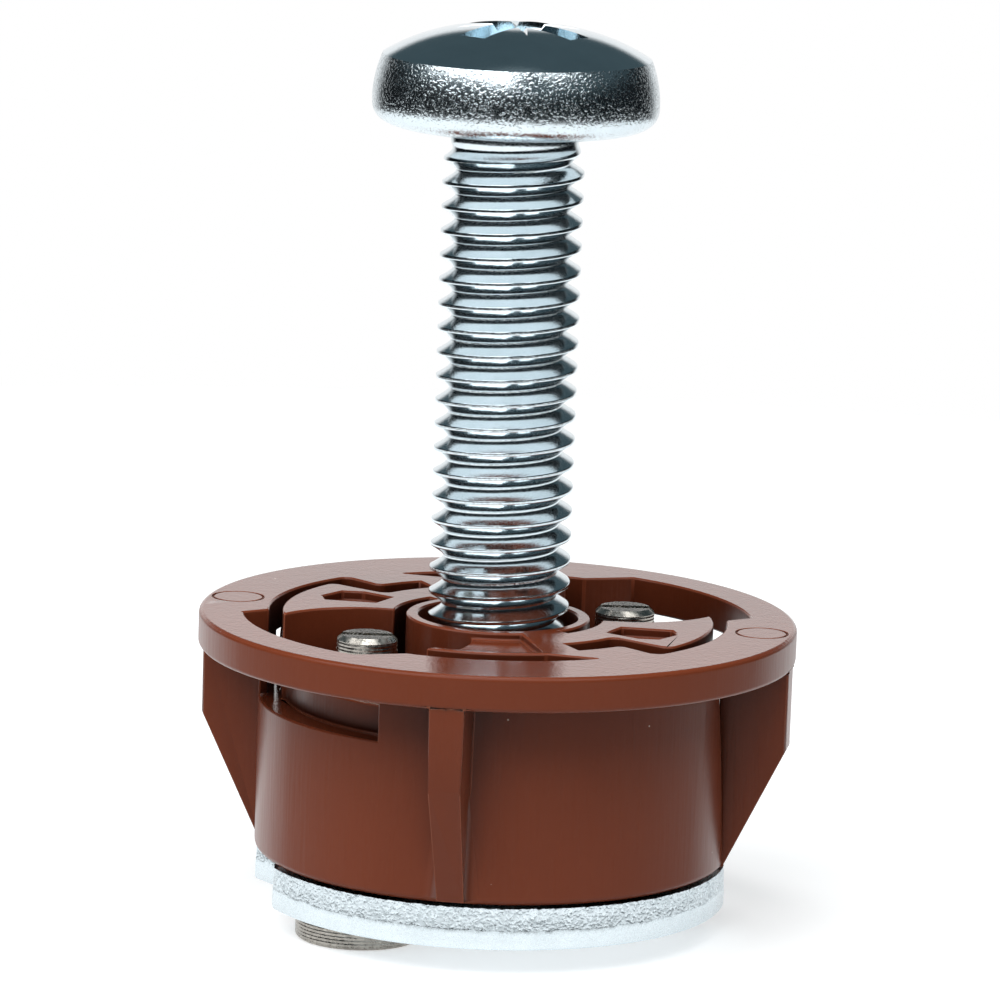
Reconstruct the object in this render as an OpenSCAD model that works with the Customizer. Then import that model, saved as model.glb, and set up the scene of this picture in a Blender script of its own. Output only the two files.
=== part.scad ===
// Drywall anchor for a 20 mm hole: a moulded body with a flange, two steel wings that swing
// out behind the board on slotted pins, and an M6 machine screw in a threaded insert.
// Millimetres. +Z points out of the wall along the screw's axis, which is X = Y = 0.
// Z = 0 is the lower face of the two pin heads, on which the anchor stands.

/* [Body] */
// Diameter of the body, a little under the hole it goes into
body_d = 19.6; // [19.4:0.1:20.5]
// Length of the body under the flange
body_len = 8.5; // [8:0.1:14]
// Rounding of the body's lower edge
body_round = 0.3; // [0.1:0.1:0.6]
// Diameter of the flange that stays in front of the board
flange_d = 24.7; // [24.4:0.1:27]
// Thickness of the flange
flange_t = 1.45; // [1.3:0.05:2]
// Rounding of the flange's edges
flange_round = 0.2; // [0.1:0.05:0.4]

/* [Fins] */
// Thickness of a fin at the flange
fin_t = 1.45; // [1.2:0.05:2.2]
// Thickness of a fin at its lower end, where the mould's draft has narrowed it
fin_end_t = 1.1; // [0.9:0.05:1.2]
// How far a fin's edge stays inside the flange's rim
fin_inset = 0.1; // [0:0.05:0.4]
// Height of a fin's upright edge, above its taper
fin_upright = 3.3; // [2:0.1:4]
// Width of the wedge-shaped relief beside two of the fins, at the flange
relief_w = 1.5; // [0.8:0.1:2]
// Depth of that relief into the body
relief_depth = 0.9; // [0.4:0.1:1.1]

/* [Face] */
// Radius of the round well about each pin
well_r = 4.25; // [4:0.05:4.4]
// Depth of a well under the face
well_depth = 2.4; // [1.5:0.1:2.8]
// How far a well's mouth reaches past the body's side into the flange
mouth_past = 0.75; // [0.5:0.05:1]
// Depth, from the body's side, of the slot that the mouth opens in it
core_depth = 1.1; // [0.9:0.05:1.5]
// Depth of the mouth and of the slits under the face
slit_depth = 3.6; // [3.2:0.1:4]
// Wall between the slit behind a web and the body's side
web_wall = 0.75; // [0.6:0.05:1]
// Width of the slit behind a web
web_slit_w = 1.3; // [0.6:0.1:1.4]
// Depth of a web's hollow under the face
web_sink = 0.3; // [0.1:0.1:0.6]
// Width of the lip between that hollow and the slit
web_lip = 0.4; // [0.2:0.05:0.6]
// Wall between the slit round a lobe's end and the body's side
lobe_wall = 0.35; // [0.3:0.05:0.6]
// Width of the slit round a lobe's end
lobe_slit_w = 0.55; // [0.4:0.05:0.8]
// Radius of a lobe's narrow root
root_r = 6; // [5.8:0.1:6.3]
// Width of the slit round a lobe's root
root_slit_w = 1.35; // [1:0.05:1.5]
// Rounding of the corners where a slit steps in to a lobe's root
notch_round = 0.5; // [0.2:0.05:0.6]
// Depth of the bare six-sided recess in each lobe
recess_depth = 0.4; // [0.2:0.1:0.8]
// Diameter of the ejector marks on the flange
ejector_d = 2.2; // [1.5:0.1:2.4]
// Width of the fine ring that an ejector pin leaves
ejector_ring_w = 0.1; // [0.08:0.01:0.2]
// Depth of that ring
ejector_depth = 0.08; // [0.04:0.01:0.15]
// Distance of an ejector mark's middle from the flange's edge
ejector_inset = 1.35; // [1.35:0.05:1.6]

/* [Collar] */
// Outer diameter of the collar round the screw
collar_d = 7.6; // [7.2:0.1:8]
// Bore of the collar, which the screw passes freely
collar_bore_d = 6.6; // [6.4:0.1:6.8]
// Width of the slit between the collar and a lobe
collar_slit_w = 0.5; // [0.4:0.05:0.6]

/* [Pins] */
// Distance from the screw's axis to each pin
pin_offset = 6.48; // [6.3:0.02:6.6]
// Angle of the line through the two pins, from X
pin_angle = 35.1; // [34:0.1:36]
// Diameter of a pin
pin_d = 2.5; // [2.2:0.1:2.8]
// How far a pin's top stays below the face
pin_below_face = 0.23; // [0:0.01:0.8]
// Running clearance round a pin
pin_clearance = 0.05; // [0.02:0.01:0.1]
// Diameter of a pin's head, under the wing
pin_head_d = 5.2; // [4.4:0.1:5.6]
// Thickness of a pin's head
pin_head_t = 1.12; // [0.8:0.02:1.6]
// Distance across the two flats that drive the wing
pin_flats = 1.9; // [1.5:0.1:2.1]
// Width of the screwdriver slot in a pin
pin_slot_w = 0.5; // [0.4:0.05:0.8]
// Depth of the screwdriver slot in a pin
pin_slot_depth = 0.6; // [0.4:0.1:1]
// Chamfer round a pin's top
pin_chamfer = 0.2; // [0.1:0.05:0.4]
// Depth of the groove that holds a pin in the body's snap ring
snap_depth = 0.15; // [0.1:0.01:0.25]
// Height of the snap ring
snap_h = 0.4; // [0.3:0.1:0.8]

/* [Wings] */
// Thickness of a wing
wing_t = 1.55; // [1.2:0.05:2]
// Gap between the wings and the body
wing_gap = 0.28; // [0.16:0.02:0.6]
// Angle through which a wing swings out
wing_swing = 90; // [60:5:90]
// Radius of a wing's heel about its pin, clear of the screw's path
heel_r = 3.57; // [3.3:0.01:3.7]
// Radius of the part of a wing that passes the screw
throat_r = 3.1; // [2.7:0.05:3.15]
// How far a wing's blunt tip reaches past the screw's axis
wing_reach = 7.5; // [6.5:0.1:8.5]
// Gap between a wing's tip and the other wing's heel
tip_gap = 0.63; // [0.6:0.01:0.9]
// Gap between the straight edges of the two wings
wing_split = 0.3; // [0.2:0.05:0.6]
// Radial gap between the folded wings and the screw
screw_gap = 0.6; // [0.3:0.05:0.8]

/* [Screw] */
// Outside diameter of the screw's thread
screw_d = 5.8; // [5.6:0.05:6]
// Length of the screw under its head
screw_len = 30; // [25:1:40]
// Diameter of the pan head
head_d = 11.74; // [11:0.02:12]
// Height of the pan head
head_h = 4.25; // [3.8:0.05:4.8]
// Width of the rounding at the pan head's lower edge
head_rim_w = 0.3; // [0.1:0.05:0.6]
// Height of that rounding
head_rim_h = 0.85; // [0.3:0.05:1.2]
// Height of the shoulder, where the side of the pan head turns into its crown
shoulder_h = 2.85; // [2.5:0.05:3.1]
// How far the side has drawn in at the shoulder
shoulder_in = 0.33; // [0.1:0.01:0.6]
// Flatness of the crown: 2 is evenly domed, more is flatter on top
crown_flatness = 4.2; // [2:0.1:6]
// How far the head stands off the face
head_gap = 20.25; // [15:0.05:22]
// Pitch of the thread
thread_pitch = 1; // [0.8:0.05:1.25]
// Depth of the thread
thread_depth = 0.55; // [0.4:0.05:0.65]
// Width of the thread's flat crests
crest_w = 0.13; // [0.1:0.01:0.2]
// Width of the thread's flat roots
thread_root_w = 0.24; // [0.1:0.02:0.3]
// Length of the plain neck under the head
neck_len = 1.1; // [0.5:0.1:3]
// Diameter of that neck
neck_d = 5.22; // [5:0.02:5.4]
// Fillet between that neck and the underside of the head
head_fillet = 0.4; // [0.35:0.05:0.6]
// Width across the cross recess
cross_w = 5.9; // [5:0.1:6.4]
// Width of a blade of the cross recess
cross_blade = 1.25; // [0.9:0.05:1.5]
// Depth of the cross recess
cross_depth = 2.9; // [2:0.1:3.2]
// Height of the upright wall at the ends of the cross recess
cross_upright = 0.5; // [0.2:0.1:1]
// Angle of the cross recess, from X
cross_angle = 53; // [0:1:90]
// Chamfer at the end of the screw
screw_chamfer = 0.6; // [0.3:0.1:0.9]

/* [Insert] */
// Outside diameter of the threaded insert
insert_d = 7.6; // [7.2:0.1:7.8]
// Length of the threaded insert in the body
insert_len = 6; // [4:0.1:6.2]
// Diameter of the insert's flange, which bears on the back of the body
insert_flange_d = 8.8; // [8.4:0.1:9]
// Thickness of the insert's flange
insert_flange_t = 0.8; // [0.5:0.1:1.2]
// Running clearance round the screw in the insert
thread_clearance = 0.05; // [0.02:0.01:0.1]

/* [Hidden] */
$fn = 96;

// Heights, from the pin heads up
wing_z = pin_head_t;
wing_top = wing_z + wing_t;
body_z = wing_top + wing_gap;
flange_z = body_z + body_len;
face_z = flange_z + flange_t;
well_z = face_z - well_depth;
slit_z = face_z - slit_depth;
pin_top = face_z - pin_below_face;
head_z = face_z + head_gap;
snap_z = well_z - 2 * snap_h;

// Radii
body_r = body_d / 2;
flange_r = flange_d / 2;
fin_r = flange_r - fin_inset;
pin_r = pin_d / 2;
bearing_r = pin_r + pin_clearance;
screw_r = screw_d / 2;
head_r = head_d / 2;
collar_r = collar_d / 2;
insert_bore_r = screw_r + thread_clearance;
wing_screw_r = screw_r + screw_gap;
mouth_r = body_r + mouth_past;
core_r = body_r - core_depth;
web_slit_out = body_r - web_wall;
web_slit_in = web_slit_out - web_slit_w;
lobe_slit_r = body_r - lobe_wall;
lobe_r = lobe_slit_r - lobe_slit_w;
root_slit_r = root_r + root_slit_w;
ejector_at_r = flange_r - ejector_inset;

// Directions of the fins: those at 81 and 171 degrees and their opposites
FIN_ANGLES = [-9, 81, 171, 261];
// Angles about the screw's axis where the features of the face begin and end. Each is
// given for the back well and its lobe, and the other half of the face is the same turned.
well_a = pin_angle;
lobe_tip_a = pin_angle - acos(
    (lobe_r * lobe_r + pin_offset * pin_offset - well_r * well_r) / (2 * lobe_r * pin_offset));
mouth_start_a = 1.8;
mouth_end_a = 57;
web_start_a = 66;
web_taper_a = 105;
web_end_a = 116.5;
lobe_side_a = -38;
slit_side_a = -47;
root_end_a = -63;
collar_slit_start_a = -48;
collar_slit_end_a = 15;
ejector_a = -10;
// Corners of the recess in a lobe, from the lobe's middle
LOBE_MIDDLE = [5.95, -2.7];
RECESS = [[-1.5, -0.2], [-0.85, 1.05], [1.2, 0.75], [1.4, -0.05], [0.6, -1.15], [-0.3, -1.1]];
// Steps of the short arcs that round an edge, and of the screw's crown
ARC_STEPS = 5;
CROWN_STEPS = 8;
// Power of the curve by which the pan head's side turns in
SIDE_POWER = 4;
// A cut runs this much past the surface it opens
past = 1;
// A form that grows out of another starts this deep in it
sunk = 0.1;
// A rounding crosses the two edges it joins by this little, and so never just touches them
bite = 0.02;

function polar(r, a) = [r * cos(a), r * sin(a)];

// Points of an arc from angle a1 to angle a2 about a centre
function arc(centre, r, a1, a2, steps = ARC_STEPS) =
    [for (i = [0:steps]) centre + polar(r, a1 + (a2 - a1) * i / steps)];

// Part of a ring between two radii and two angles less than a half turn apart
module ring_sector(r1, r2, a1, a2) {
    reach = r2 / cos((a2 - a1) / 4) + past;
    intersection() {
        difference() {
            circle(r = r2);
            circle(r = r1);
        }
        polygon([[0, 0], polar(reach, a1), polar(reach, (a1 + a2) / 2), polar(reach, a2)]);
    }
}

// Draws its children once for each half of the anchor
module both_halves() {
    for (turn = [0, 180]) rotate([0, 0, turn]) children();
}

// Moves its children to the back pin's axis
module at_pin() {
    translate(polar(pin_offset, pin_angle)) children();
}

// The body as one turned form, with the flange on top
module body_blank() {
    rotate_extrude() polygon(concat(
        [[0, body_z]],
        arc([body_r - body_round, body_z + body_round], body_round, -90, 0),
        [[body_r, flange_z]],
        arc([flange_r - flange_round, flange_z + flange_round], flange_round, -90, 0),
        arc([flange_r - flange_round, face_z - flange_round], flange_round, 0, 90),
        [[0, face_z]]
    ));
}

// A fin that bites into the board, along +X: upright under the flange, then tapered
module fin() {
    root = body_r - past;
    fin_z = body_z + 0.3 * body_round;
    intersection() {
        rotate([90, 0, 0]) linear_extrude(2 * fin_t, center = true) polygon([
            [root, fin_z], [body_r, fin_z],
            [fin_r, flange_z - fin_upright], [fin_r, flange_z + flange_round],
            [root, flange_z + flange_round]
        ]);
        rotate([90, 0, 90]) linear_extrude(fin_r + past) polygon([
            [-fin_end_t / 2, body_z], [fin_end_t / 2, body_z],
            [fin_t / 2, flange_z + flange_round], [-fin_t / 2, flange_z + flange_round]
        ]);
    }
}

// Wedge-shaped relief beside a fin, widest at the flange and gone at the body's lower edge
module fin_relief() {
    translate([body_r - relief_depth, 0, 0]) rotate([90, 0, 90])
        linear_extrude(relief_depth + past) polygon([
            [-fin_t / 2 - relief_w, flange_z], [0, flange_z], [0, body_z + 2 * body_round],
            [-fin_end_t / 2, body_z + 2 * body_round]
        ]);
}

// The relief without the fin itself
module fin_relief_beside() {
    difference() {
        fin_relief();
        fin();
    }
}

// The mouth through which a well opens outwards, to the flange and the body's side
module mouth_outline() {
    intersection() {
        circle(r = mouth_r);
        polygon([
            polar(lobe_r, lobe_tip_a), polar(lobe_slit_r - lobe_slit_w / 2, mouth_start_a),
            polar(mouth_r + past, mouth_start_a + 7), polar(mouth_r + 4 * past, well_a),
            polar(mouth_r + past, mouth_end_a - 4), polar(web_slit_out, web_start_a + 0.5),
            polar(pin_offset, pin_angle)
        ]);
    }
}

// What a rounding leaves in the corner between the circle of radius r and the ray at angle a.
// The rounding lies outside or inside the circle (out = 1, -1), and past or before the ray.
module corner_sliver(r, a, out, beyond) {
    reach = notch_round - bite;
    middle_r = r + out * reach;
    middle_a = a + beyond * asin(reach / middle_r);
    middle = polar(middle_r, middle_a);
    on_ray = polar(middle_r * cos(middle_a - a), a);
    difference() {
        polygon([
            middle, middle + (on_ray - middle) * (1 + sunk),
            polar(r - out * sunk, a - beyond), polar(r - out * sunk, middle_a)
        ]);
        translate(middle) circle(r = notch_round);
    }
}

// The slits that part a lobe from the flange and from the collar
module lobe_slits() {
    difference() {
        union() {
            ring_sector(lobe_r, lobe_slit_r, slit_side_a, lobe_tip_a);
            ring_sector(root_r, lobe_slit_r, slit_side_a, lobe_side_a);
            ring_sector(root_r, root_slit_r, root_end_a, slit_side_a + 1);
        }
        corner_sliver(lobe_slit_r, slit_side_a, -1, 1);
        corner_sliver(root_r, lobe_side_a, 1, -1);
    }
    corner_sliver(lobe_r, lobe_side_a, -1, 1);
    corner_sliver(root_slit_r, slit_side_a, 1, -1);
    ring_sector(collar_r, collar_r + collar_slit_w, collar_slit_start_a, collar_slit_end_a);
}

// The slit behind a web, which narrows to a point away from its well
module web_slit() {
    ring_sector(web_slit_in, web_slit_out, web_start_a - 3, web_taper_a);
    intersection() {
        circle(r = web_slit_out);
        polygon([
            polar(web_slit_in, web_taper_a - 1), polar(web_slit_out + past, web_taper_a - 1),
            polar(web_slit_out + past, web_end_a), polar(web_slit_out - sunk, web_end_a),
            polar(web_slit_in, web_taper_a)
        ]);
    }
}

// All that is open in one half of the face as deep as the slits
module slit_outline() {
    difference() {
        union() {
            difference() {
                mouth_outline();
                circle(r = core_r);
            }
            web_slit();
            lobe_slits();
        }
        circle(r = collar_r);
    }
}

// The round well about a pin, with its mouth
module well_outline() {
    difference() {
        union() {
            intersection() {
                circle(r = mouth_r);
                at_pin() circle(r = well_r);
            }
            mouth_outline();
        }
        circle(r = collar_r);
    }
}

// What is taken out of one half of the face
module face_cuts() {
    translate([0, 0, slit_z]) linear_extrude(slit_depth + past) slit_outline();
    translate([0, 0, well_z]) linear_extrude(well_depth + past) well_outline();
    translate([0, 0, face_z - web_sink]) linear_extrude(past)
        ring_sector(collar_r, web_slit_in - web_lip, web_start_a, web_taper_a);
    translate([0, 0, face_z - recess_depth]) linear_extrude(past)
        translate(LOBE_MIDDLE) polygon(RECESS);
    translate([0, 0, face_z - ejector_depth]) linear_extrude(past)
        translate(polar(ejector_at_r, ejector_a)) difference() {
            circle(d = ejector_d);
            circle(d = ejector_d - 2 * ejector_ring_w);
        }
}

// Bearing of a pin: a bore with a snap ring that runs in the pin's groove
module pin_bearing() {
    at_pin() {
        translate([0, 0, body_z - past]) cylinder(r = bearing_r, h = snap_z - body_z + past);
        translate([0, 0, body_z]) cylinder(r = bearing_r - snap_depth, h = body_len);
        translate([0, 0, snap_z + snap_h]) cylinder(r = bearing_r, h = well_depth);
    }
}

// Flanged brown moulding: one piece with its fins, wells, lobes and collar
module body() {
    color("#7a4030") difference() {
        union() {
            body_blank();
            for (a = FIN_ANGLES) rotate([0, 0, a]) fin();
        }
        both_halves() {
            face_cuts();
            pin_bearing();
            rotate([0, 0, FIN_ANGLES[0]]) fin_relief_beside();
        }
        translate([0, 0, body_z]) cylinder(d = insert_d, h = insert_len);
        translate([0, 0, body_z - past]) cylinder(d = insert_flange_d, h = insert_flange_t + past);
        translate([0, 0, body_z]) cylinder(d = collar_bore_d, h = body_len + flange_t + past);
    }
}

// Flanged steel bush that the screw threads into, put in from the back of the body
module threaded_insert() {
    color("#b9bcc0") translate([0, 0, body_z]) difference() {
        union() {
            cylinder(d = insert_d, h = insert_len);
            cylinder(d = insert_flange_d, h = insert_flange_t);
        }
        translate([0, 0, -past]) cylinder(r = insert_bore_r, h = insert_len + 2 * past);
    }
}

// Section of a pin where two flats drive the wing
module drive_section() {
    intersection() {
        circle(r = pin_r);
        square([pin_flats, 2 * pin_d], center = true);
    }
}

// Outline of a folded wing whose pin is at -X. The wing lies on the -Y side.
module wing_outline() {
    heel_start_a = wing_swing + 22;
    difference() {
        union() {
            intersection() {
                circle(r = body_r);
                translate([-body_r, -body_r])
                    square([body_r + wing_reach, body_r - wing_split / 2]);
            }
            intersection() {
                circle(r = body_r);
                translate([-pin_offset, 0]) {
                    circle(r = throat_r);
                    ring_sector(0, heel_r, heel_start_a, 225);
                }
            }
        }
        circle(r = wing_screw_r);
        translate([pin_offset, 0]) circle(r = heel_r + tip_gap);
        translate([-pin_offset, 0]) drive_section();
    }
}

// Stamped steel wing, folded under the body
module wing() {
    color("#cfd4d8") translate([0, 0, wing_z]) linear_extrude(wing_t)
        rotate([0, 0, pin_angle]) wing_outline();
}

// Slotted pin with its head under the wing, at the pin of the front wing
module pin() {
    shank_z = wing_top;
    color("#6b6a66") translate(polar(-pin_offset, pin_angle)) difference() {
        union() {
            rotate_extrude() polygon(concat(
                [[0, 0]],
                arc([pin_head_d / 2 - pin_chamfer, pin_chamfer], pin_chamfer, -90, 0),
                [[pin_head_d / 2, wing_z], [0, wing_z]]
            ));
            translate([0, 0, wing_z]) linear_extrude(wing_t)
                rotate([0, 0, pin_angle]) drive_section();
            rotate_extrude() polygon([
                [0, shank_z], [pin_r, shank_z], [pin_r, snap_z - pin_clearance],
                [pin_r - snap_depth, snap_z - pin_clearance],
                [pin_r - snap_depth, snap_z + snap_h + pin_clearance],
                [pin_r, snap_z + snap_h + pin_clearance], [pin_r, pin_top - pin_chamfer],
                [pin_r - pin_chamfer, pin_top], [0, pin_top]
            ]);
        }
        translate([-pin_d, -pin_slot_w / 2, pin_top - pin_slot_depth])
            cube([2 * pin_d, pin_slot_w, pin_slot_depth + past]);
    }
}

// One blade of the cross recess: its ends slope in towards the bottom
module cross_blade_cut() {
    end = cross_w / 2;
    bottom_end = 0.4 * end;
    rotate([90, 0, 0]) linear_extrude(cross_blade, center = true) polygon([
        [-end, head_h + past], [-end, head_h - cross_upright],
        [-bottom_end, head_h - cross_depth], [bottom_end, head_h - cross_depth],
        [end, head_h - cross_upright], [end, head_h + past]
    ]);
}

// Half outline of the pan head, from the edge of its flat underside to the top of its crown
function head_outline() = let (
    shoulder_r = head_r - shoulder_in,
    side_h = shoulder_h - head_rim_h,
    crown_h = head_h - shoulder_h
) concat(
    [for (i = [0:ARC_STEPS]) let (a = 90 * i / ARC_STEPS) [
        head_r - head_rim_w * (1 - sin(a)), head_rim_h * (1 - cos(a))
    ]],
    [for (i = [1:ARC_STEPS]) let (s = i / ARC_STEPS) [
        head_r - shoulder_in * pow(s, SIDE_POWER), head_rim_h + side_h * s
    ]],
    [for (i = [1:CROWN_STEPS]) let (q = 1 - i / CROWN_STEPS) [
        shoulder_r * q, shoulder_h + crown_h * (1 - pow(q, crown_flatness))
    ]]
);

// One groove of the thread: a ring tilted by the thread's rise over half a turn
module thread_groove() {
    flank_w = (thread_pitch - crest_w - thread_root_w) / 2;
    mouth_w = thread_root_w / 2 + flank_w * (1 + sunk / thread_depth);
    root = screw_r - thread_depth;
    rotate([0, -atan(thread_pitch / screw_d / 2), 0]) rotate_extrude() polygon([
        [root, -thread_root_w / 2], [screw_r + sunk, -mouth_w],
        [screw_r + past, -mouth_w], [screw_r + past, mouth_w],
        [screw_r + sunk, mouth_w], [root, thread_root_w / 2]
    ]);
}

// Pan-head machine screw with an M6 thread
module screw() {
    neck_r = neck_d / 2;
    color("#c3c9cc") translate([0, 0, head_z]) difference() {
        rotate_extrude() polygon(concat(
            [[0, -screw_len], [screw_r - screw_chamfer, -screw_len],
             [screw_r, screw_chamfer - screw_len], [screw_r, neck_r - screw_r - neck_len],
             [neck_r, -neck_len]],
            arc([neck_r + head_fillet, -head_fillet], head_fillet, 180, 90),
            head_outline()
        ));
        for (z = [screw_len - thread_pitch / 2 : -thread_pitch : neck_len])
            translate([0, 0, -z]) thread_groove();
        for (turn = [0, 90]) rotate([0, 0, turn + cross_angle]) cross_blade_cut();
        translate([0, 0, head_h - cross_depth])
            cylinder(r1 = cross_w / 6, r2 = cross_w / 4, h = cross_depth + past);
    }
}

body();
threaded_insert();
wing();  // front_wing
pin();  // front_pin
rotate([0, 0, 180]) wing();  // back_wing
rotate([0, 0, 180]) pin();  // back_pin
screw();
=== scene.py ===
# %% [markdown]
# # A drywall anchor and its screw
# A drywall anchor holds a screw in a hollow plasterboard wall. This one is a brown moulded body with
# a flange, two steel wings that swing out behind the board on slotted pins, and an M6 pan-head screw.
# The exact shapes come from a CAD model, which is loaded as a fixed frame. The lesson keeps the CAD
# pieces that are already right and gives them a finish, and it builds new ones where the eye looks
# for more than CAD holds: the rolled thread, the struck head, the sheared edges of the wings and the
# softened edges of the moulding.

import math

import bmesh
import bpy
from mathutils import Matrix, Vector, noise


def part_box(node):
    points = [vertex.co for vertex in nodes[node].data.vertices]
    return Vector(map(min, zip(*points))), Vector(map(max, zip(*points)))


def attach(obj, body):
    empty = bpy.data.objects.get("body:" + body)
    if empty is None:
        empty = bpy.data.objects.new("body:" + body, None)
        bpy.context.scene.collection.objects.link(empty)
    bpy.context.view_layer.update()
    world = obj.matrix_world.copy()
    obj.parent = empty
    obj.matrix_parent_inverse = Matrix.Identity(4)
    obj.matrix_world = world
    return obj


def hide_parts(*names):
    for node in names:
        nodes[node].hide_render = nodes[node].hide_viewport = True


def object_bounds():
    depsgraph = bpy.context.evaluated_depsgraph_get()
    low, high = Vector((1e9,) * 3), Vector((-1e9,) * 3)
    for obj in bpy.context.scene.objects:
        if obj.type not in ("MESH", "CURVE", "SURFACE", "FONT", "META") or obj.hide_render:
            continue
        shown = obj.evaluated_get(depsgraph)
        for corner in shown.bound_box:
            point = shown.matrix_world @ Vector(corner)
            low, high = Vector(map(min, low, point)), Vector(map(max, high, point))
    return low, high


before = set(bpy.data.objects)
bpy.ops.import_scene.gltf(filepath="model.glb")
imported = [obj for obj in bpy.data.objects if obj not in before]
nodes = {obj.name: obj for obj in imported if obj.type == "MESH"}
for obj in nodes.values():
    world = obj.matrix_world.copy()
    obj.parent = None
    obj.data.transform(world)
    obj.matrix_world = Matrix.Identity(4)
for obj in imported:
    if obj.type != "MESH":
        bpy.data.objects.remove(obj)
cad_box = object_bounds()
MM = 0.001
print("CAD box, mm:", [[round(x / MM, 2) for x in corner] for corner in cad_box])

# %% [markdown]
# ## Small tools for materials
# A colour picked on a screen is sRGB, but a shader works in linear light, so one function turns a hex
# value into linear numbers. A material is a tree of nodes: one function adds a node with its settings,
# and plugs each input either into a value or into the output of an earlier node.

# %% Colour and node helpers
def linear(hex_colour):
    """An sRGB hex colour such as "#8a4b36" as linear RGBA."""
    channels = [int(hex_colour[i : i + 2], 16) / 255 for i in (1, 3, 5)]
    return [c / 12.92 if c <= 0.04045 else ((c + 0.055) / 1.055) ** 2.4 for c in channels] + [1.0]


def add_node(tree, kind, inputs=None, **settings):
    """Adds a node. inputs maps an input's name or number to a value or to another node's output."""
    node = tree.nodes.new("ShaderNode" + kind)
    for name, value in settings.items():
        setattr(node, name, value)
    for name, value in (inputs or {}).items():
        if isinstance(value, bpy.types.NodeSocket):
            tree.links.new(value, node.inputs[name])
        else:
            node.inputs[name].default_value = value
    return node


def new_material(name):
    """An empty material, with its node tree and the output node that a shader goes into."""
    material = bpy.data.materials.new(name)
    material.use_nodes = True
    tree = material.node_tree
    tree.nodes.clear()
    return material, tree, tree.nodes.new("ShaderNodeOutputMaterial")


print("white in linear light:", linear("#ffffff"))

# %% [markdown]
# ## The plastic's colour
# The body is polyamide, a tough nylon, coloured right through. On top of two close browns lie three
# thin layers, each mixed in by a share between 0 and 1: edges paled by handling, a few grains of dust,
# and painted shade, a dark brown laid into the wells, the slits and the wall under the flange. Two
# nodes read the shape itself. The Bevel node rounds the normal near an edge: where the rounded and
# the true normal differ, there is an edge. The Ambient Occlusion node says how open a place is: the
# less open, the more painted shade.

# %% Plastic colour
PLASTIC = "#7f3d25"
PLASTIC_DEEP = "#74361f"
PLASTIC_RUBBED = "#b3745a"
PLASTIC_DUST = "#e0cdc0"
# painted shade: the dark brown laid into closed-in places, where shade falls
PLASTIC_PAINTED_SHADE = "#2e120a"
TINT_SIZE = 5 * MM
WORN_WIDTH = 0.07 * MM
WORN_PATCH = MM / 0.9
EDGE_NONE, EDGE_FULL = 0.999, 0.9
DUST_SPACING = 1.7 * MM
DUST_SIZE = 0.05 * MM
DUST_CORE = 0.6
# how far the occlusion looks, and the openness at which the painted shade starts and is full
RECESS_REACH = 8 * MM
RECESS_NONE, RECESS_FULL = 0.75, 0.25


def plastic_colour(tree, place, true_normal):
    """The plastic's base colour, as the output of its last layer."""
    tint = add_node(tree, "TexNoise", {"Vector": place, "Scale": 1 / TINT_SIZE, "Detail": 4.0})
    rounded = add_node(tree, "Bevel", {"Radius": WORN_WIDTH}, samples=4)
    likeness = add_node(
        tree, "VectorMath", {0: rounded.outputs[0], 1: true_normal}, operation="DOT_PRODUCT"
    ).outputs["Value"]
    edge = add_node(tree, "MapRange", {"Value": likeness, 1: EDGE_NONE, 2: EDGE_FULL})
    patchy = add_node(tree, "TexNoise", {"Vector": place, "Scale": 1 / WORN_PATCH, "Detail": 3.0})
    worn = add_node(tree, "Math", {0: edge.outputs[0], 1: patchy.outputs[0]}, operation="MULTIPLY")
    # a Voronoi texture measures the distance to one point in each cell of a coarse grid
    nearest = add_node(
        tree, "TexVoronoi", {"Vector": place, "Scale": 1 / DUST_SPACING, "Randomness": 1.0}
    ).outputs["Distance"]
    reach = DUST_SIZE / DUST_SPACING
    dust = add_node(tree, "MapRange", {"Value": nearest, 1: reach, 2: reach * DUST_CORE})
    # painted shade: the less open a place is, the darker its colour, whatever the lamps do
    openness = add_node(
        tree, "AmbientOcclusion", {"Distance": RECESS_REACH}, samples=6, only_local=True
    ).outputs["AO"]
    grime_and_painted_shade = add_node(tree, "MapRange", {"Value": openness, 1: RECESS_NONE, 2: RECESS_FULL})
    colour = linear(PLASTIC_DEEP)
    # the last layer is painted shade
    layers = (
        (tint, PLASTIC), (worn, PLASTIC_RUBBED), (dust, PLASTIC_DUST), (grime_and_painted_shade, PLASTIC_PAINTED_SHADE)
    )
    for share, layer in layers:
        mixed = {0: share.outputs[0], 6: colour, 7: linear(layer)}
        colour = add_node(tree, "Mix", mixed, data_type="RGBA").outputs[2]
    return colour


# %% [markdown]
# ## The plastic's skin
# The body was shot into a steel mould, and its skin is a cast of that steel. The insert that made the
# face was polished, so the face mirrors the screw at a low angle. The walls come from a duller,
# wire-cut mould that left fine upright lines. Over both lies a faint orange peel, where the plastic
# shrank a little as it cooled. Thin edges let some light through, which a touch of subsurface
# scattering gives.

# %% Plastic skin
PEEL_SIZE = 0.5 * MM
PEEL_DEPTH = 0.02 * MM
PEEL_STRENGTH = 0.25
# the real mould lines are a few hundredths of a millimetre apart: drawn coarser, so that they show
MOULD_LINE = 0.16 * MM
MOULD_LINE_DEPTH = 0.02 * MM
MOULD_LINE_STRENGTH = 0.4
MOULD_LINE_STRETCH = (1.0, 1.0, 0.05)
WALL_ROUGH = (0.24, 0.4)
FACE_ROUGH = 0.1
FACE_SLOPE = (0.6, 0.9)
MIRROR_FACING = (0.5, 0.8)
MIRROR_LEVEL = (0.15, 0.72)
POLYAMIDE_IOR = 1.53


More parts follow.
